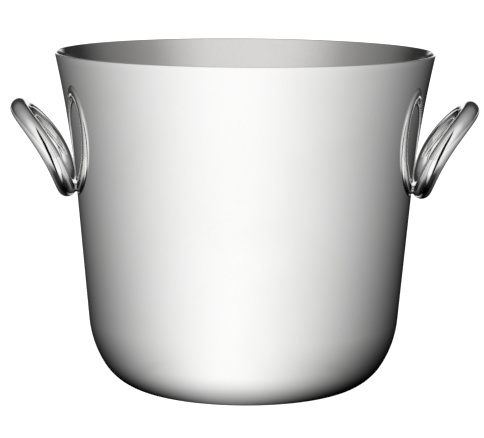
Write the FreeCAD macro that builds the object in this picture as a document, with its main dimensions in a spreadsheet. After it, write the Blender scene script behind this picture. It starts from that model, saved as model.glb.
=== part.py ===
import FreeCAD, Part
import Sketcher
import math
import os
from FreeCAD import Rotation, Vector

# A polished silver champagne bucket: one spun bowl and two ring handles, each
# brazed at its foot to the wall. Millimetres, +Z up, origin at the centre of
# the underside, handles on the X axis.

SIZES = {
    "rim_diameter": 230.0,       # outside, across the mouth
    "bucket_height": 205.0,
    "wall_thickness": 1.4,
    "corner_radius": 33.4,       # tight roll from the flat underside
    "corner_sweep": 58.0,        # degrees turned by that roll
    "shoulder_radius": 61.3,     # slower roll that meets the wall
    "wall_taper": 5.3,           # degrees from upright, middle of the wall
    "flare_start": 117.6,        # height where the wall starts to flare
    "rim_flare": 12.5,           # degrees from upright at the rim
    "lip_rounding": 0.5,
    "ring_radius": 28.5,         # centre line of the ring
    "wire_diameter": 10.8,
    "ring_lean": 30.7,           # degrees from upright
    "ring_bend_radius": 79.0,    # the ring is bowed about an upright axis
    "ring_height": 121.7,        # lowest point of the ring's centre line
    "braze_gap": 0.4,            # between the wire and the wall
    "braze_diameter": 6.4,
}
PATH_CORNERS = 24                # corners of the polygon that guides a ring
LIP_SHARE = 0.45                 # most of the sheet's thickness that the lip's rounding takes
SIDES = {"right": 1, "left": -1}


def add_sheet(doc):
    sheet = doc.addObject("Spreadsheet::Sheet", "Sizes")
    for row, (alias, value) in enumerate(SIZES.items(), start=1):
        sheet.set(f"A{row}", alias)
        sheet.set(f"B{row}", str(value))
        sheet.setAlias(f"B{row}", alias)
    doc.recompute()
    return sheet


def origin_plane(body, role):
    for feature in body.Origin.OriginFeatures:
        if feature.Role == role:
            return feature
    raise LookupError(role)


class WallCurve:
    """Outside of the bowl as radius over height, from the sheet's sizes."""

    def __init__(self, sheet):
        self.taper = math.radians(sheet.wall_taper)
        self.flare = math.radians(sheet.rim_flare)
        self.sweep = math.radians(sheet.corner_sweep)
        self.corner = sheet.corner_radius
        self.shoulder = sheet.shoulder_radius
        self.height = sheet.bucket_height
        self.flare_start = sheet.flare_start
        upright = math.pi / 2 - self.taper

        # heights, and radii counted outward from the flat underside's edge
        roll_out = self.corner * math.sin(self.sweep)
        roll_up = self.corner * (1 - math.cos(self.sweep))
        wall_out = roll_out + self.shoulder * (math.sin(upright) - math.sin(self.sweep))
        wall_up = roll_up + self.shoulder * (math.cos(self.sweep) - math.cos(upright))
        flare_out = wall_out + (self.flare_start - wall_up) * math.tan(self.taper)
        rise = self.height - self.flare_start
        self.flare_radius = rise / (math.sin(self.flare) - math.sin(self.taper))
        rim_out = flare_out + self.flare_radius * (math.cos(self.taper) - math.cos(self.flare))

        self.rim_radius = sheet.rim_diameter / 2
        base = self.rim_radius - rim_out
        self.base_edge = Vector(base, 0)
        self.roll_end = Vector(base + roll_out, roll_up)
        self.wall_foot = Vector(base + wall_out, wall_up)
        self.wall_top = Vector(base + flare_out, self.flare_start)
        self.rim = Vector(self.rim_radius, self.height)

        self.corner_centre = Vector(base, self.corner)
        self.shoulder_centre = self.roll_end + self.shoulder * Vector(
            -math.sin(self.sweep), math.cos(self.sweep))
        self.flare_centre = self.wall_top + self.flare_radius * Vector(
            math.cos(self.taper), -math.sin(self.taper))

    def slope_at(self, height):
        """Angle from upright of the wall above its foot."""
        if height <= self.flare_start:
            return self.taper
        return math.asin((height - self.flare_centre.y) / self.flare_radius)

    def radius_at(self, height):
        if height <= self.flare_start:
            return self.wall_top.x - (self.flare_start - height) * math.tan(self.taper)
        slope = self.slope_at(height)
        return self.flare_centre.x - self.flare_radius * math.cos(slope)


def arc(centre, radius, start, end):
    circle = Part.Circle(centre, Vector(0, 0, 1), radius)
    return Part.ArcOfCircle(circle, start, end)


def sketch_outline(sketch, wall):
    """Half outline of the bowl, closed along the axis."""
    quarter = math.pi / 2
    axis_foot = Vector(0, 0)
    axis_top = Vector(0, wall.height)
    geometry = [
        Part.LineSegment(axis_foot, wall.base_edge),
        arc(wall.corner_centre, wall.corner, -quarter, wall.sweep - quarter),
        arc(wall.shoulder_centre, wall.shoulder, wall.sweep - quarter, -wall.taper),
        Part.LineSegment(wall.wall_foot, wall.wall_top),
        arc(wall.flare_centre, wall.flare_radius, math.pi - wall.flare, math.pi - wall.taper),
        Part.LineSegment(wall.rim, axis_top),
        Part.LineSegment(axis_top, axis_foot),
    ]
    sketch.addGeometry(geometry, False)
    base, corner, shoulder, side, flare, mouth, axis = range(7)
    start, end, origin = 1, 2, -1

    sketch.addConstraint([
        Sketcher.Constraint("Coincident", base, start, origin, 1),
        Sketcher.Constraint("Horizontal", base),
        Sketcher.Constraint("Tangent", base, end, corner, start),
        Sketcher.Constraint("Tangent", corner, end, shoulder, start),
        Sketcher.Constraint("Tangent", shoulder, end, side, start),
        Sketcher.Constraint("Tangent", side, end, flare, end),
        Sketcher.Constraint("Coincident", flare, start, mouth, start),
        Sketcher.Constraint("Horizontal", mouth),
        Sketcher.Constraint("Coincident", mouth, end, axis, start),
        Sketcher.Constraint("Coincident", axis, end, origin, 1),
        Sketcher.Constraint("Vertical", axis),
    ])
    driven = [
        ("corner_radius", Sketcher.Constraint("Radius", corner, wall.corner),
         "Sizes.corner_radius"),
        ("corner_sweep", Sketcher.Constraint("Angle", corner, wall.sweep),
         "Sizes.corner_sweep * 1deg"),
        ("shoulder_radius", Sketcher.Constraint("Radius", shoulder, wall.shoulder),
         "Sizes.shoulder_radius"),
        ("wall_angle", Sketcher.Constraint("Angle", side, quarter - wall.taper),
         "90deg - Sizes.wall_taper * 1deg"),
        ("flare_start", Sketcher.Constraint("DistanceY", origin, 1, side, end, wall.flare_start),
         "Sizes.flare_start"),
        ("flare_turn", Sketcher.Constraint("Angle", flare, wall.flare - wall.taper),
         "(Sizes.rim_flare - Sizes.wall_taper) * 1deg"),
        ("rim_radius", Sketcher.Constraint("DistanceX", origin, 1, flare, start, wall.rim_radius),
         "Sizes.rim_diameter / 2"),
        ("rim_height", Sketcher.Constraint("DistanceY", origin, 1, flare, start, wall.height),
         "Sizes.bucket_height"),
    ]
    for name, constraint, formula in driven:
        index = sketch.addConstraint(constraint)
        sketch.renameConstraint(index, name)
        sketch.setExpression(f"Constraints.{name}", formula)


def add_bowl(doc, wall):
    """The spun bowl: a solid of revolution hollowed from its mouth."""
    body = doc.addObject("PartDesign::Body", "bucket_body")
    body.Label = "bucket_body"
    sketch = body.newObject("Sketcher::SketchObject", "bowl_outline")
    sketch.AttachmentSupport = [(origin_plane(body, "XZ_Plane"), "")]
    sketch.MapMode = "FlatFace"
    sketch_outline(sketch, wall)
    doc.recompute()

    spun = body.newObject("PartDesign::Revolution", "spun_form")
    spun.Profile = sketch
    spun.ReferenceAxis = (sketch, ["V_Axis"])
    spun.Angle = 360
    doc.recompute()

    hollow = body.newObject("PartDesign::Thickness", "hollow")
    hollow.Base = (spun, [face_at_height(spun.Shape, wall.height)])
    hollow.Reversed = True
    hollow.setExpression("Value", "Sizes.wall_thickness")
    doc.recompute()

    lip = body.newObject("PartDesign::Fillet", "lip")
    lip.Base = (hollow, edges_at_height(hollow.Shape, wall.height))
    lip.setExpression("Radius", f"min(Sizes.lip_rounding; Sizes.wall_thickness * {LIP_SHARE})")
    body.Tip = lip
    doc.recompute()
    return body


def face_at_height(shape, height):
    for number, face in enumerate(shape.Faces, start=1):
        if face.BoundBox.ZMin > height - 0.001:
            return f"Face{number}"
    raise LookupError("mouth")


def edges_at_height(shape, height):
    names = []
    for number, edge in enumerate(shape.Edges, start=1):
        if edge.BoundBox.ZMin > height - 0.001:
            names.append(f"Edge{number}")
    return names


def ring_point(turn, radius, sheet):
    """Point of a ring standing on the origin, leaning along +X.

    turn runs once round the ring from its foot. The ring is bowed about an
    upright axis, so that its sides curve back towards the wall.
    """
    lean = math.radians(sheet.ring_lean)
    across = radius * math.sin(turn)
    along = sheet.ring_radius - radius * math.cos(turn)
    bend = sheet.ring_bend_radius
    bow = bend - math.sqrt(bend ** 2 - across ** 2)
    return Vector(along * math.sin(lean) - bow, across, along * math.cos(lean))


def rounded_path(corners):
    """Arcs tangent to the sides of a closed polygon, one for each corner."""
    count = len(corners)
    arcs = []
    for index, corner in enumerate(corners):
        before = corners[index - 1] - corner
        after = corners[(index + 1) % count] - corner
        reach = min(before.Length, after.Length) / 2
        start = corner + reach * before.normalize()
        end = corner + reach * after.normalize()
        half_turn = (math.pi - before.getAngle(after)) / 2
        radius = reach / math.tan(half_turn)
        inward = (before + after).normalize()
        middle = corner + inward * (radius / math.cos(half_turn) - radius)
        arcs.append((start, middle, end))
    return arcs


def path_wire(arcs, shift):
    """Closed wire through the arcs, with short straights where two don't meet."""
    edges = []
    for index, (start, middle, end) in enumerate(arcs):
        last_end = arcs[index - 1][2]
        if last_end.distanceToPoint(start) > 1e-6:
            edges.append(Part.LineSegment(last_end, start).toShape())
        edges.append(Part.Arc(start, middle, end).toShape())
    wire = Part.Wire(edges)
    wire.translate(shift)
    return wire


def add_ring(doc, sheet, wall, name, side):
    """A round-wire ring, swept along arcs that touch each other in line."""
    slope = wall.slope_at(sheet.ring_height)
    reach = sheet.wire_diameter / 2 + sheet.braze_gap
    foot_out = wall.radius_at(sheet.ring_height) + reach / math.cos(slope)

    # corners stand outside the ring so that its sides touch the centre line
    corner_radius = sheet.ring_radius / math.cos(math.pi / PATH_CORNERS)
    corners = []
    for index in range(PATH_CORNERS):
        corner = ring_point(2 * math.pi * index / PATH_CORNERS, corner_radius, sheet)
        corners.append(Vector(side * corner.x, corner.y, corner.z))
    arcs = rounded_path(corners)
    foot = arcs[0][1]
    path = doc.addObject("Part::Feature", f"{name}_path")
    path.Shape = path_wire(arcs, Vector(side * foot_out, 0, sheet.ring_height) - foot)

    first = path.Shape.Edges[0]
    section = doc.addObject("Part::Circle", f"{name}_section")
    section.setExpression("Radius", "Sizes.wire_diameter / 2")
    section.Placement.Base = first.valueAt(first.FirstParameter)
    section.Placement.Rotation = Rotation(Vector(0, 0, 1), first.tangentAt(first.FirstParameter))

    ring = doc.addObject("Part::Sweep", name)
    ring.Sections = [section]
    ring.Spine = (path, [f"Edge{n + 1}" for n in range(len(path.Shape.Edges))])
    ring.Solid = True
    ring.Frenet = False
    ring.Label = name
    doc.recompute()
    return ring


def add_braze(doc, sheet, wall, bowl, ring, name, side):
    """The saddle of silver solder between a ring's foot and the wall."""
    slope = wall.slope_at(sheet.ring_height)
    plug = doc.addObject("Part::Cylinder", f"{name}_plug")
    plug.setExpression("Radius", "Sizes.braze_diameter / 2")
    plug.setExpression("Height", "Sizes.wall_thickness / 2 + Sizes.braze_gap + Sizes.wire_diameter / 2")
    outward = Vector(side * math.cos(slope), 0, -math.sin(slope))
    start = wall.radius_at(sheet.ring_height) - sheet.wall_thickness / 2
    plug.Placement.Base = Vector(side * start, 0, sheet.ring_height)
    plug.Placement.Rotation = Rotation(Vector(0, 0, 1), outward)

    clear_of_wall = doc.addObject("Part::Cut", f"{name}_off_wall")
    clear_of_wall.Base = plug
    clear_of_wall.Tool = bowl
    saddle = doc.addObject("Part::Cut", name)
    saddle.Base = clear_of_wall
    saddle.Tool = ring
    saddle.Label = name
    doc.recompute()
    return saddle


def check(doc, pieces):
    for item in doc.Objects:
        if "Invalid" in item.State or "Error" in item.State:
            raise RuntimeError(f"{item.Name} failed: {item.State}")
    for piece in pieces:
        if piece.Shape.isNull() or not piece.Shape.isValid():
            raise RuntimeError(f"{piece.Label} has no valid shape")
        if len(piece.Shape.Solids) != 1:
            raise RuntimeError(f"{piece.Label} is {len(piece.Shape.Solids)} solids")


def main():
    doc = FreeCAD.newDocument("champagne_bucket")
    sheet = add_sheet(doc)
    wall = WallCurve(sheet)
    bowl = add_bowl(doc, wall)
    pieces = [bowl]
    for word, side in SIDES.items():
        ring = add_ring(doc, sheet, wall, f"{word}_ring_handle", side)
        braze = add_braze(doc, sheet, wall, bowl, ring, f"{word}_braze_saddle", side)
        pieces += [ring, braze]
    doc.recompute()
    check(doc, pieces)

    os.makedirs("parts", exist_ok=True)
    for piece in pieces:
        piece.Shape.exportStep(f"parts/{piece.Label}.step")
        box = piece.Shape.BoundBox
        print(f"{piece.Label}: {piece.Shape.Volume:.1f} mm3, x {box.XMin:.2f} to {box.XMax:.2f}, "
              f"y {box.YMin:.2f} to {box.YMax:.2f}, z {box.ZMin:.2f} to {box.ZMax:.2f}")


main()
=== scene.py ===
import bpy
import math
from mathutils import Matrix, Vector


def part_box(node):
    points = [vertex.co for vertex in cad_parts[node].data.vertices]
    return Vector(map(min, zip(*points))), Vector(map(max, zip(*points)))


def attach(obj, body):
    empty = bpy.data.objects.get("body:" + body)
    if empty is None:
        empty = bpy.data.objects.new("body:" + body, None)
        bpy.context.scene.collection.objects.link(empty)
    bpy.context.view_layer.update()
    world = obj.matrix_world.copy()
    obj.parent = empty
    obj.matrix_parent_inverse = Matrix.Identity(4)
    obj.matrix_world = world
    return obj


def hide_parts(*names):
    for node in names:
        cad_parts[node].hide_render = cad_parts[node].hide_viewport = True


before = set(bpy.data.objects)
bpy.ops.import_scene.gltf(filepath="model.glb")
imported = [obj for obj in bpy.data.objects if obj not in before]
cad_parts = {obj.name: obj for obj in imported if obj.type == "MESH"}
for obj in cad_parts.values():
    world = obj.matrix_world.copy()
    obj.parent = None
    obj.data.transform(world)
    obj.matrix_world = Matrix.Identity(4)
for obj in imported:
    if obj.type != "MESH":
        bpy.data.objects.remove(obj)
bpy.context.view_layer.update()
print("stage: frame loaded")


# small helpers

def deselectAll():
    if bpy.context.object and bpy.context.object.mode != "OBJECT":
        bpy.ops.object.mode_set(mode="OBJECT")
    bpy.ops.object.select_all(action="DESELECT")


def applyPlace(piece):
    deselectAll()
    piece.select_set(True)
    bpy.context.view_layer.objects.active = piece
    bpy.ops.object.transform_apply(location=True, rotation=True, scale=True)


def addNode(tree, kind, place, **values):
    node = tree.nodes.new(kind)
    node.location = place
    for key, value in values.items():
        setattr(node, key, value)
    return node


def mathNode(tree, operation, place, first, second=None, third=None):
    node = addNode(tree, "ShaderNodeMath", place, operation=operation)
    for index, source in enumerate((first, second, third)):
        if isinstance(source, (int, float)):
            node.inputs[index].default_value = source
        elif source is not None:
            tree.links.new(source, node.inputs[index])
    return node.outputs[0]


def rampNode(tree, place, source, stops, interpolation="LINEAR"):
    # stops are (position, grey) pairs in rising order
    ramp = addNode(tree, "ShaderNodeValToRGB", place)
    ramp.color_ramp.interpolation = interpolation
    elements = ramp.color_ramp.elements
    for index, (position, grey) in enumerate(stops):
        element = elements[index] if index < 2 else elements.new(position)
        element.position = position
        element.color = (grey, grey, grey, 1)
    tree.links.new(source, ramp.inputs["Fac"])
    return ramp.outputs["Color"]


def mapRange(tree, place, source, low, high, outLow, outHigh, smooth=True):
    node = addNode(tree, "ShaderNodeMapRange", place, clamp=True)
    node.interpolation_type = "SMOOTHSTEP" if smooth else "LINEAR"
    tree.links.new(source, node.inputs["Value"])
    for name, value in (("From Min", low), ("From Max", high), ("To Min", outLow), ("To Max", outHigh)):
        node.inputs[name].default_value = value
    return node.outputs["Result"]


# shader groups shared by the silver finishes

def newGroup(name, inputs, outputs):
    tree = bpy.data.node_groups.new(name, "ShaderNodeTree")
    for label, kind, value in inputs:
        socket = tree.interface.new_socket(name=label, in_out="INPUT", socket_type=kind)
        if value is not None:
            socket.default_value = value
    for label, kind in outputs:
        tree.interface.new_socket(name=label, in_out="OUTPUT", socket_type=kind)
    start = addNode(tree, "NodeGroupInput", (-900, 0))
    end = addNode(tree, "NodeGroupOutput", (900, 0))
    return tree, start, end


def makeScratchGroup():
    # hairlines left by a polishing cloth, in two crossing directions
    tree, start, end = newGroup(
        "polishingHairlines",
        [("Vector", "NodeSocketVector", None), ("Density", "NodeSocketFloat", 900.0),
         ("Stretch", "NodeSocketFloat", 0.03), ("Threshold", "NodeSocketFloat", 0.66)],
        [("Mask", "NodeSocketFloat"), ("Height", "NodeSocketFloat")])
    masks = []
    for turn in (0.35, -0.9):
        row = 260 * len(masks)
        rotate = addNode(tree, "ShaderNodeVectorRotate", (-700, row), rotation_type="Y_AXIS")
        rotate.inputs["Angle"].default_value = turn
        tree.links.new(start.outputs["Vector"], rotate.inputs["Vector"])
        squeeze = addNode(tree, "ShaderNodeCombineXYZ", (-700, row + 120))
        squeeze.inputs["X"].default_value = 1
        squeeze.inputs["Y"].default_value = 1
        tree.links.new(start.outputs["Stretch"], squeeze.inputs["Z"])
        scaled = addNode(tree, "ShaderNodeVectorMath", (-500, row), operation="MULTIPLY")
        tree.links.new(rotate.outputs[0], scaled.inputs[0])
        tree.links.new(squeeze.outputs[0], scaled.inputs[1])
        noise = addNode(tree, "ShaderNodeTexNoise", (-300, row))
        noise.inputs["Detail"].default_value = 3
        noise.inputs["Roughness"].default_value = 0.6
        tree.links.new(scaled.outputs[0], noise.inputs["Vector"])
        tree.links.new(start.outputs["Density"], noise.inputs["Scale"])
        above = mathNode(tree, "SUBTRACT", (-100, row), noise.outputs["Fac"], start.outputs["Threshold"])
        masks.append(mathNode(tree, "MULTIPLY", (60, row), above, 9.0))
    both = mathNode(tree, "MAXIMUM", (260, 100), masks[0], masks[1])
    mask = mapRange(tree, (430, 100), both, 0.0, 1.0, 0.0, 1.0)
    height = mathNode(tree, "MULTIPLY", (620, -100), mask, -1.0)
    tree.links.new(mask, end.inputs["Mask"])
    tree.links.new(height, end.inputs["Height"])
    return tree


def makeHazeGroup():
    # broad smears and fingertip dulling on a polished surface
    tree, start, end = newGroup(
        "polishHaze",
        [("Vector", "NodeSocketVector", None), ("Scale", "NodeSocketFloat", 18.0),
         ("Amount", "NodeSocketFloat", 0.5)],
        [("Haze", "NodeSocketFloat"), ("Ripple", "NodeSocketFloat")])
    smear = addNode(tree, "ShaderNodeTexNoise", (-600, 200))
    smear.inputs["Detail"].default_value = 4
    smear.inputs["Distortion"].default_value = 0.6
    tree.links.new(start.outputs["Vector"], smear.inputs["Vector"])
    tree.links.new(start.outputs["Scale"], smear.inputs["Scale"])
    soft = mapRange(tree, (-350, 200), smear.outputs["Fac"], 0.4, 0.75, 0.0, 1.0)
    speck = addNode(tree, "ShaderNodeTexNoise", (-600, -100))
    speck.inputs["Detail"].default_value = 2
    speck.inputs["Scale"].default_value = 420
    tree.links.new(start.outputs["Vector"], speck.inputs["Vector"])
    grain = mapRange(tree, (-350, -100), speck.outputs["Fac"], 0.45, 0.8, 0.0, 0.35)
    total = mathNode(tree, "ADD", (-100, 100), soft, grain)
    haze = mathNode(tree, "MULTIPLY", (100, 100), total, start.outputs["Amount"])
    ripple = addNode(tree, "ShaderNodeTexNoise", (-600, -400))
    ripple.inputs["Detail"].default_value = 1
    ripple.inputs["Scale"].default_value = 9
    tree.links.new(start.outputs["Vector"], ripple.inputs["Vector"])
    tree.links.new(haze, end.inputs["Haze"])
    tree.links.new(ripple.outputs["Fac"], end.inputs["Ripple"])
    return tree


hairlineGroup = makeScratchGroup()
hazeGroup = makeHazeGroup()


def silverMaterial(name, look):
    material = bpy.data.materials.new(name)
    material.use_nodes = True
    tree = material.node_tree
    shader = tree.nodes["Principled BSDF"]
    shader.inputs["Metallic"].default_value = 1.0
    coords = addNode(tree, "ShaderNodeTexCoord", (-1300, 0))

    hairlines = addNode(tree, "ShaderNodeGroup", (-1000, 250), node_tree=hairlineGroup)
    hairlines.inputs["Density"].default_value = look["hairlineDensity"]
    hairlines.inputs["Threshold"].default_value = look["hairlineThreshold"]
    tree.links.new(coords.outputs["Object"], hairlines.inputs["Vector"])
    haze = addNode(tree, "ShaderNodeGroup", (-1000, -100), node_tree=hazeGroup)
    haze.inputs["Scale"].default_value = look["hazeScale"]
    haze.inputs["Amount"].default_value = look["hazeAmount"]
    tree.links.new(coords.outputs["Object"], haze.inputs["Vector"])

    # roughness: a low mirror value, raised by haze and along the hairlines
    rough = mathNode(tree, "MULTIPLY_ADD", (-600, -50), haze.outputs["Haze"],
                     look["hazeRoughness"], look["roughness"])
    rough = mathNode(tree, "MULTIPLY_ADD", (-400, -50), hairlines.outputs["Mask"],
                     look["hairlineRoughness"], rough)
    tree.links.new(rough, shader.inputs["Roughness"])

    # colour: bright silver, a breath warmer and darker where it is hazy
    tint = addNode(tree, "ShaderNodeMix", (-500, 350), data_type="RGBA")
    tint.inputs["A"].default_value = look["clean"]
    tint.inputs["B"].default_value = look["dull"]
    tree.links.new(haze.outputs["Haze"], tint.inputs["Factor"])
    tree.links.new(tint.outputs["Result"], shader.inputs["Base Color"])

    # relief: hairlines in the plate and the faint unevenness of hand work
    fine = addNode(tree, "ShaderNodeBump", (-250, -300))
    fine.inputs["Distance"].default_value = look["hairlineDepth"]
    tree.links.new(hairlines.outputs["Height"], fine.inputs["Height"])
    broad = addNode(tree, "ShaderNodeBump", (-450, -450))
    broad.inputs["Distance"].default_value = look["rippleDepth"]
    tree.links.new(haze.outputs["Ripple"], broad.inputs["Height"])
    tree.links.new(broad.outputs["Normal"], fine.inputs["Normal"])
    tree.links.new(fine.outputs["Normal"], shader.inputs["Normal"])
    return material


# camera

view = {
    "distance": 1.5,          # from the bucket's axis
    "height": 0.3196,         # above the table
    "aside": -0.00125,
    "pitch": 0.1435,          # radians down
    "roll": 0.0072,
    "lens": 184.84,
    "sensor": 36.0,
}


def makeCamera():
    data = bpy.data.cameras.new("viewCamera")
    data.lens = view["lens"]
    data.sensor_width = view["sensor"]
    data.clip_end = 60
    camera = bpy.data.objects.new("viewCamera", data)
    bpy.context.collection.objects.link(camera)
    camera.rotation_mode = "ZYX"
    camera.location = (view["aside"], -view["distance"], view["height"])
    camera.rotation_euler = (math.pi / 2 - view["pitch"], 0, view["roll"])
    bpy.context.scene.camera = camera
    print("stage: camera placed")


makeCamera()


# bowl

bowl = {
    "segments": 256,
    "cornerRadius": 0.0334,
    "cornerSweep": math.radians(58.0),
    "shoulderRadius": 0.0613,
    "wallTaper": math.radians(5.3),
    "flareStart": 0.1176,
    "rimFlare": math.radians(12.5),
    "wallThickness": 0.0014,
    "lipRounding": 0.0005,
    "lipTrim": 0.00005,       # planed flat across the rim
    "rimRadius": 0.115,
    "poleRadius": 0.002,
    "flatShares": (0, 0.3, 0.6, 0.85, 0.96, 1.0),    # loops across the underside
    "steps": {"roll": 24, "shoulder": 14, "wall": 6, "flare": 18},
    "mergeWithin": 0.000001,
    "lipAngle": math.radians(50),
    "lipSegments": 4,
}


def bowlOutline():
    # outside of the bowl as (radius, height), from the pole to the rim
    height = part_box("bucket_body")[1][2]
    sweep, taper, flare = bowl["cornerSweep"], bowl["wallTaper"], bowl["rimFlare"]
    corner, shoulder = bowl["cornerRadius"], bowl["shoulderRadius"]
    upright = math.pi / 2 - taper
    rise = height - bowl["flareStart"]
    flareRadius = rise / (math.sin(flare) - math.sin(taper))

    steps = bowl["steps"]
    points = []
    for step in range(1, steps["roll"] + 1):
        turn = sweep * step / steps["roll"]
        points.append((corner * math.sin(turn), corner * (1 - math.cos(turn))))
    rollOut, rollUp = points[-1]
    for step in range(1, steps["shoulder"] + 1):
        turn = sweep + (upright - sweep) * step / steps["shoulder"]
        points.append((rollOut + shoulder * (math.sin(turn) - math.sin(sweep)),
                       rollUp + shoulder * (math.cos(sweep) - math.cos(turn))))
    wallOut, wallUp = points[-1]
    for step in range(1, steps["wall"] + 1):
        up = (bowl["flareStart"] - wallUp) * step / steps["wall"]
        points.append((wallOut + up * math.tan(taper), wallUp + up))
    flareOut = points[-1][0]
    for step in range(1, steps["flare"] + 1):
        lean = taper + (flare - taper) * step / steps["flare"]
        points.append((flareOut + flareRadius * (math.cos(taper) - math.cos(lean)),
                       bowl["flareStart"] + flareRadius * (math.sin(lean) - math.sin(taper))))

    base = bowl["rimRadius"] - points[-1][0]
    flat = [(bowl["poleRadius"] + (base - bowl["poleRadius"]) * share, 0.0)
            for share in bowl["flatShares"]]
    return flat + [(base + out, up) for out, up in points]


def makeBowl(outside, inside):
    outline = bowlOutline()
    deselectAll()
    bpy.ops.mesh.primitive_circle_add(vertices=bowl["segments"], radius=outline[0][0],
                                      fill_type="NGON", location=(0, 0, 0))
    piece = bpy.context.object
    piece.name = "bucketBowl"
    bpy.ops.object.mode_set(mode="EDIT")
    bpy.ops.mesh.select_mode(type="EDGE")
    bpy.ops.mesh.select_all(action="SELECT")
    lastRadius, lastHeight = outline[0]
    for radius, height in outline[1:]:
        bpy.ops.mesh.extrude_edges_move(
            TRANSFORM_OT_translate={"value": (0, 0, height - lastHeight)})
        share = radius / lastRadius
        bpy.ops.transform.resize(value=(share, share, 1), center_override=(0, 0, height))
        lastRadius, lastHeight = radius, height
    bpy.ops.mesh.select_all(action="SELECT")
    bpy.ops.mesh.remove_doubles(threshold=bowl["mergeWithin"])
    bpy.ops.mesh.normals_make_consistent(inside=False)
    bpy.ops.object.mode_set(mode="OBJECT")
    piece.data.materials.append(outside)
    piece.data.materials.append(inside)

    wall = piece.modifiers.new("wall", "SOLIDIFY")
    wall.thickness = bowl["wallThickness"]
    wall.offset = -1
    wall.use_even_offset = True
    wall.use_quality_normals = True
    wall.material_offset = 1
    bpy.ops.object.modifier_apply(modifier="wall")
    bpy.ops.object.mode_set(mode="EDIT")
    bpy.ops.mesh.select_all(action="SELECT")
    bpy.ops.mesh.bisect(plane_co=(0, 0, outline[-1][1] - bowl["lipTrim"]), plane_no=(0, 0, 1),
                        clear_outer=True, use_fill=False)
    bpy.ops.mesh.bridge_edge_loops()
    bpy.ops.object.mode_set(mode="OBJECT")
    lip = piece.modifiers.new("lip", "BEVEL")
    lip.width = bowl["lipRounding"]
    lip.segments = bowl["lipSegments"]
    lip.limit_method = "ANGLE"
    lip.angle_limit = bowl["lipAngle"]
    bpy.ops.object.modifier_apply(modifier="lip")
    bpy.ops.object.shade_smooth()
    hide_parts("bucket_body")
    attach(piece, "root")
    print("stage: bowl made,", len(piece.data.polygons), "faces")
    return piece


# ring handles

ring = {
    "radius": 0.0285,         # centre line
    "wire": 0.0054,           # radius of the round wire
    "lean": math.radians(30.7),
    "bend": 0.079,            # bowed about an upright axis
    "cuts": 5,                # extra points between the circle's own four
    "smoothness": 12,         # steps between points
    "roundness": 11,          # how finely the wire is rounded
    "mergeWithin": 0.000001,
}


def ringFoot(word):
    # lowest point of the ring's centre line, from its CAD box
    low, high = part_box(word + "_ring_handle")
    top = high[0] if word == "right" else -low[0]
    topOut = 2 * ring["radius"] * math.sin(ring["lean"]) + ring["wire"]
    return Vector((top - topOut, 0, low[2] + ring["wire"]))


def makeRing(word, side, material):
    foot = ringFoot(word)
    deselectAll()
    bpy.ops.curve.primitive_bezier_circle_add(radius=ring["radius"], location=(0, 0, 0))
    curve = bpy.context.object
    bpy.ops.object.mode_set(mode="EDIT")
    bpy.ops.curve.select_all(action="SELECT")
    bpy.ops.curve.subdivide(number_cuts=ring["cuts"])
    bpy.ops.object.mode_set(mode="OBJECT")
    spline = curve.data.splines[0]
    for point in spline.bezier_points:
        turn = math.atan2(point.co.y, point.co.x)
        across = ring["radius"] * math.sin(turn)
        along = ring["radius"] * (1 - math.cos(turn))
        bow = ring["bend"] - math.sqrt(ring["bend"] ** 2 - across ** 2)
        out = foot.x + along * math.sin(ring["lean"]) - bow
        point.handle_left_type = "AUTO"
        point.handle_right_type = "AUTO"
        point.co = (side * out, across, foot.z + along * math.cos(ring["lean"]))
    curve.data.dimensions = "3D"
    curve.data.resolution_u = ring["smoothness"]
    curve.data.bevel_depth = ring["wire"]
    curve.data.bevel_resolution = ring["roundness"]
    bpy.ops.object.convert(target="MESH")
    piece = bpy.context.object
    piece.name = word + "Ring"
    bpy.ops.object.mode_set(mode="EDIT")
    bpy.ops.mesh.select_all(action="SELECT")
    bpy.ops.mesh.remove_doubles(threshold=ring["mergeWithin"])
    bpy.ops.mesh.normals_make_consistent(inside=False)
    bpy.ops.object.mode_set(mode="OBJECT")
    bpy.ops.object.shade_smooth()
    applyPlace(piece)
    piece.data.materials.clear()
    piece.data.materials.append(material)
    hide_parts(word + "_ring_handle")
    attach(piece, "root")
    print("stage:", piece.name, "made,", len(piece.data.polygons), "faces")
    return piece


# solder between ring and wall

solder = {
    "segments": 64,
    "halfHeight": 0.0025,     # at its waist
    "halfWidth": 0.0027,
    "inWall": 0.0007,         # how far its ends are sunk
    "inWire": 0.0012,
    "swell": 1.18,            # ends over waist
    "swellPower": 2.2,        # how late the ends open out
    "steps": 10,
    "sharpAngle": math.radians(50),
}


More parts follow.
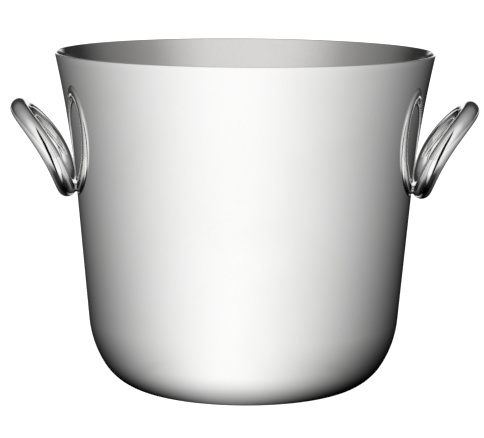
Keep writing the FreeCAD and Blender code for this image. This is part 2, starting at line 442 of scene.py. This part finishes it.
def makeSolder(word, side, material):
    low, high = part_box(word + "_braze_saddle")
    wallSide = min(abs(low[0]), abs(high[0]))
    middle = (low[2] + high[2]) / 2
    start = wallSide - solder["inWall"]
    foot = ringFoot(word)
    stop = foot.x - ring["wire"] + solder["inWire"]
    deselectAll()
    bpy.ops.mesh.primitive_circle_add(vertices=solder["segments"], radius=1.0, fill_type="NGON",
                                      location=(side * start, 0, middle),
                                      rotation=(0, math.pi / 2, 0))
    piece = bpy.context.object
    piece.name = word + "Solder"
    applyPlace(piece)
    bpy.ops.object.mode_set(mode="EDIT")
    bpy.ops.mesh.select_mode(type="EDGE")
    bpy.ops.mesh.select_all(action="SELECT")
    steps = solder["steps"]
    grown = solder["swell"]
    bpy.ops.transform.resize(
        value=(1, solder["halfWidth"] * grown, solder["halfHeight"] * grown),
        center_override=(side * start, 0, middle))
    for step in range(1, steps + 1):
        share = step / steps
        swell = 1 + (solder["swell"] - 1) * abs(2 * share - 1) ** solder["swellPower"]
        bpy.ops.mesh.extrude_edges_move(
            TRANSFORM_OT_translate={"value": (side * (stop - start) / steps, 0, 0)})
        bpy.ops.transform.resize(value=(1, swell / grown, swell / grown),
                                 center_override=(side * (start + (stop - start) * share), 0, middle))
        grown = swell
    bpy.ops.mesh.edge_face_add()
    bpy.ops.mesh.select_all(action="SELECT")
    bpy.ops.mesh.normals_make_consistent(inside=False)
    bpy.ops.object.mode_set(mode="OBJECT")
    bpy.ops.object.shade_smooth_by_angle(angle=solder["sharpAngle"])
    piece.data.materials.clear()
    piece.data.materials.append(material)
    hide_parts(word + "_braze_saddle")
    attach(piece, "root")
    print("stage:", piece.name, "made")
    return piece


bowlLook = {
    "clean": (0.93, 0.93, 0.925, 1), "dull": (0.88, 0.875, 0.86, 1),
    "roughness": 0.045, "hazeRoughness": 0.05, "hairlineRoughness": 0.06,
    "hazeScale": 14.0, "hazeAmount": 0.5,
    "hairlineDensity": 900.0, "hairlineThreshold": 0.68, "hairlineDepth": 0.000002,
    "rippleDepth": 0.00004,
}
ringLook = {
    "clean": (0.93, 0.93, 0.93, 1), "dull": (0.87, 0.87, 0.86, 1),
    "roughness": 0.05, "hazeRoughness": 0.04, "hairlineRoughness": 0.05,
    "hazeScale": 60.0, "hazeAmount": 0.5,
    "hairlineDensity": 1500.0, "hairlineThreshold": 0.7, "hairlineDepth": 0.0000006,
    "rippleDepth": 0.00001,
}
solderLook = {
    "clean": (0.86, 0.86, 0.85, 1), "dull": (0.7, 0.69, 0.66, 1),
    "roughness": 0.12, "hazeRoughness": 0.2, "hairlineRoughness": 0.1,
    "hazeScale": 260.0, "hazeAmount": 0.8,
    "hairlineDensity": 2500.0, "hairlineThreshold": 0.62, "hairlineDepth": 0.000004,
    "rippleDepth": 0.0001,
}
insideLook = {
    "clean": (0.71, 0.702, 0.695, 1), "dull": (0.64, 0.628, 0.615, 1),
    "roughness": 0.09, "hazeRoughness": 0.1, "hairlineRoughness": 0.06,
    "hazeScale": 11.0, "hazeAmount": 0.7,
    "hairlineDensity": 700.0, "hairlineThreshold": 0.64, "hairlineDepth": 0.000003,
    "rippleDepth": 0.00004,
}
bowlSilver = silverMaterial("polishedBowlSilver", bowlLook)
insideSilver = silverMaterial("insideBowlSilver", insideLook)
ringSilver = silverMaterial("polishedRingSilver", ringLook)
solderSilver = silverMaterial("silverSolder", solderLook)

makeBowl(bowlSilver, insideSilver)
for word, side in (("right", 1), ("left", -1)):
    makeRing(word, side, ringSilver)
    makeSolder(word, side, solderSilver)


# table, glowing with a painted shadow and painted pools of light for the metal to mirror, and the studio
# light

table = {
    "halfSize": 14.0,
    "seen": 1.3,              # plain white to the camera
    "peak": 1.04,             # mirrored by the metal, in the painted lit part
    "aside": 6.0,             # degrees the painted light stands left of the viewer
    "shadowEdge": (0.056, 0.103),
    "shadowStart": 0.06,      # distance from the axis where the painted shadow closes up
    "shadowNearest": 0.008,
    "shadowSpread": 0.2,
    "shadowFloor": 0.8,
    "backPool": 0.8,
    "backReach": (0.24, 0.5),
    "backWide": (0.05, 0.11),
    "backTurn": 0.22,         # how far round the back it reaches
    "backRise": (0.06, 0.12),
    "fromAbove": 0.08,        # painted sheen: share left when mirrored from straight above
    "sheenRange": (0.12, 0.4),
    "sheenAside": (0.07, 0.1),    # that painted sheen is at the two ends only
    "farGlow": 0.9,           # painted light on the far end behind
    "farReach": (2.0, 3.2),
}


def directionShares(tree, across, toward, place):
    # half of one plus the cosine of the angle from the painted light, seen from above
    x, y = place
    length = mathNode(tree, "SQRT", (x + 400, y), mathNode(
        tree, "ADD", (x + 200, y), mathNode(tree, "MULTIPLY", (x, y), across, across),
        mathNode(tree, "MULTIPLY", (x, y - 150), toward, toward)))
    turn = math.radians(table["aside"])
    along = mathNode(tree, "MULTIPLY_ADD", (x + 200, y + 200), across, -math.sin(turn),
                     mathNode(tree, "MULTIPLY", (x, y + 200), toward, math.cos(turn)))
    cosine = mathNode(tree, "DIVIDE", (x + 600, y + 100), along, length)
    share = mathNode(tree, "MULTIPLY_ADD", (x + 800, y + 100), cosine, 0.5, 0.5)
    return length, mathNode(tree, "MAXIMUM", (x + 1000, y + 100), share, 0.0)


def makeTable():
    deselectAll()
    bpy.ops.mesh.primitive_plane_add(size=2 * table["halfSize"], location=(0, 0, 0))
    floor = bpy.context.object
    floor.name = "paleTable"
    material = bpy.data.materials.new("paleTable")
    material.use_nodes = True
    tree = material.node_tree
    tree.nodes.clear()
    coords = addNode(tree, "ShaderNodeTexCoord", (-2200, 0))
    split = addNode(tree, "ShaderNodeSeparateXYZ", (-2000, 0))
    tree.links.new(coords.outputs["Object"], split.inputs[0])
    toward = mathNode(tree, "MULTIPLY", (-1800, -100), split.outputs["Y"], -1.0)
    reach, share = directionShares(tree, split.outputs["X"], toward, (-1600, 0))

    # the painted lit part, with a painted soft shadow that closes round behind the bucket
    near = mathNode(tree, "SUBTRACT", (-500, 300), reach, table["shadowStart"])
    near = mathNode(tree, "MAXIMUM", (-350, 300), near, table["shadowNearest"])
    power = mathNode(tree, "DIVIDE", (-200, 300), table["shadowSpread"], near)
    power = mathNode(tree, "ADD", (-50, 300), power, table["shadowFloor"])
    lit = mathNode(tree, "POWER", (100, 200), share, power)
    edge = mapRange(tree, (100, 0), reach, *table["shadowEdge"], 0.0, table["peak"])
    front = mathNode(tree, "MULTIPLY", (300, 100), lit, edge)

    # a second, smaller pool of light painted close behind the bucket
    away = mapRange(tree, (100, -200), share, 0.0, table["backTurn"], 1.0, 0.0)
    gap = mapRange(tree, (100, -400), reach, *table["backReach"], 1.0, 0.0)
    rise = mapRange(tree, (100, -600), reach, *table["backRise"], 0.0, table["backPool"])
    sideways = mathNode(tree, "ABSOLUTE", (-50, 900), split.outputs["X"])
    narrow = mapRange(tree, (100, -1000), sideways, *table["backWide"], 1.0, 0.0)
    back = mathNode(tree, "MULTIPLY", (250, -250), away, gap)
    back = mathNode(tree, "MULTIPLY", (300, -300), back, rise)
    back = mathNode(tree, "MULTIPLY", (350, -350), back, narrow)
    mirrored = mathNode(tree, "ADD", (500, 0), front, back)
    far = mapRange(tree, (100, -800), reach, *table["farReach"], 0.0, table["farGlow"])
    mirrored = mathNode(tree, "MULTIPLY_ADD", (600, 0), far, away, mirrored)

    # painted sheen: its two ends look duller from above than at a glancing angle
    slant = addNode(tree, "ShaderNodeLayerWeight", (-50, 700))
    slant.inputs["Blend"].default_value = 0.5
    sheen = mapRange(tree, (150, 700), slant.outputs["Facing"],
                     *table["sheenRange"], table["fromAbove"], 1.0)
    beyond = mapRange(tree, (150, 900), sideways, *table["sheenAside"], 0.0, 1.0)
    dimmed = addNode(tree, "ShaderNodeMix", (350, 800), data_type="FLOAT")
    tree.links.new(beyond, dimmed.inputs["Factor"])
    dimmed.inputs[2].default_value = 1.0
    tree.links.new(sheen, dimmed.inputs[3])
    mirrored = mathNode(tree, "MULTIPLY", (550, 200), mirrored, dimmed.outputs[0])

    rays = addNode(tree, "ShaderNodeLightPath", (300, 500))
    level = addNode(tree, "ShaderNodeMix", (700, 100), data_type="FLOAT")
    tree.links.new(rays.outputs["Is Camera Ray"], level.inputs["Factor"])
    tree.links.new(mirrored, level.inputs[2])
    level.inputs[3].default_value = table["seen"]
    glow = addNode(tree, "ShaderNodeEmission", (900, 0))
    tree.links.new(level.outputs[0], glow.inputs["Strength"])
    output = addNode(tree, "ShaderNodeOutputMaterial", (1100, 0))
    tree.links.new(glow.outputs[0], output.inputs["Surface"])
    floor.data.materials.append(material)
    print("stage: table made")


# Brightness of the room, as the metal mirrors it, by the angle in degrees from
# a broad soft light that hangs in front of the bucket. The camera sees white.
studio = {
    "lightUp": math.radians(25.0),
    "lightAside": math.radians(3.0),
    "falloff": [(0, 0.97), (24, 0.95), (38, 0.8), (50, 0.62), (62, 0.42), (82, 0.29),
                (98, 0.21), (110, 0.11), (122, 0.03), (180, 0.02)],
    "seen": 1.3,
    "backGlow": 0.95,         # low pale strip behind
    "backTop": (0.12, 0.24),  # where it ends, as the height of a unit direction
    "backSide": (0.88, 0.97),
}


def makeWorld():
    world = bpy.data.worlds.new("studio")
    bpy.context.scene.world = world
    world.use_nodes = True
    tree = world.node_tree
    tree.nodes.clear()
    coords = addNode(tree, "ShaderNodeTexCoord", (-1600, 0))
    up, aside = studio["lightUp"], studio["lightAside"]
    toLight = (-math.cos(up) * math.sin(aside), -math.cos(up) * math.cos(aside), math.sin(up))
    dot = addNode(tree, "ShaderNodeVectorMath", (-1400, 0), operation="DOT_PRODUCT")
    tree.links.new(coords.outputs["Generated"], dot.inputs[0])
    dot.inputs[1].default_value = toLight
    angle = mathNode(tree, "ARCCOSINE", (-1200, 0), dot.outputs["Value"])
    share = mathNode(tree, "MULTIPLY", (-1000, 0), angle, 1 / math.pi)
    stops = [(degrees / 180, grey) for degrees, grey in studio["falloff"]]
    soft = rampNode(tree, (-800, 0), share, stops, "B_SPLINE")
    split = addNode(tree, "ShaderNodeSeparateXYZ", (-1400, -300))
    tree.links.new(coords.outputs["Generated"], split.inputs[0])
    low = mapRange(tree, (-1000, -300), split.outputs["Z"],
                   *studio["backTop"], studio["backGlow"], 0.0)
    behind = mapRange(tree, (-1000, -500), split.outputs["Y"], *studio["backSide"], 0.0, 1.0)
    soft = mathNode(tree, "MULTIPLY_ADD", (-600, 0), low, behind, soft)
    rays = addNode(tree, "ShaderNodeLightPath", (-600, 400))
    level = addNode(tree, "ShaderNodeMix", (-200, 100), data_type="FLOAT")
    tree.links.new(rays.outputs["Is Camera Ray"], level.inputs["Factor"])
    tree.links.new(soft, level.inputs[2])
    level.inputs[3].default_value = studio["seen"]
    background = addNode(tree, "ShaderNodeBackground", (0, 0))
    background.inputs["Color"].default_value = (1, 1, 1, 1)
    tree.links.new(level.outputs[0], background.inputs["Strength"])
    output = addNode(tree, "ShaderNodeOutputWorld", (200, 0))
    tree.links.new(background.outputs[0], output.inputs["Surface"])
    print("stage: studio light made")


# Black cards that paint a dark reflected line on each ring, a painted reflection. Only mirrored rays
# meet them, and only on the face toward the ring and from about the ring's distance.

card = {
    "aside": 0.1155,
    "near": -0.0974,          # how far in front of the axis
    "width": 0.058,
    "height": 0.34,
    "turn": math.radians(64.0),   # its face is toward the ring, its clear back to the bowl
    "black": 0.004,
    "seenFrom": (0.03, 0.15),    # and it shows only at the ring's own distance
}


def makeCard(word, side, material):
    deselectAll()
    place = (side * card["aside"], card["near"], card["height"] / 2)
    bpy.ops.mesh.primitive_plane_add(size=1.0, location=place,
                                     rotation=(math.pi / 2, 0, math.pi - side * card["turn"]))
    sheet = bpy.context.object
    sheet.name = word + "BlackCard"
    sheet.scale = (card["width"], card["height"], 1)
    applyPlace(sheet)
    sheet.visible_camera = False
    sheet.data.materials.append(material)


def makeCardMaterial():
    material = bpy.data.materials.new("blackCard")
    material.use_nodes = True
    tree = material.node_tree
    tree.nodes.clear()
    glow = addNode(tree, "ShaderNodeEmission", (0, 0))
    glow.inputs["Strength"].default_value = card["black"]
    clear = addNode(tree, "ShaderNodeBsdfTransparent", (0, 150))
    rays = addNode(tree, "ShaderNodeLightPath", (-400, 200))
    least, most = card["seenFrom"]
    near = mathNode(tree, "COMPARE", (-200, 200), rays.outputs["Ray Length"],
                    (least + most) / 2, (most - least) / 2)
    sides = addNode(tree, "ShaderNodeNewGeometry", (-400, 400))
    face = mathNode(tree, "SUBTRACT", (-200, 400), 1.0, sides.outputs["Backfacing"])
    seen = mathNode(tree, "MULTIPLY", (0, 350), near, face)
    either = addNode(tree, "ShaderNodeMixShader", (200, 100))
    tree.links.new(seen, either.inputs[0])
    tree.links.new(clear.outputs[0], either.inputs[1])
    tree.links.new(glow.outputs[0], either.inputs[2])
    output = addNode(tree, "ShaderNodeOutputMaterial", (400, 0))
    tree.links.new(either.outputs[0], output.inputs["Surface"])
    return material


makeTable()
makeWorld()
cardBlack = makeCardMaterial()
for word, side in (("right", 1), ("left", -1)):
    makeCard(word, side, cardBlack)
print("stage: cards placed")
bpy.context.scene.view_settings.view_transform = "Standard"
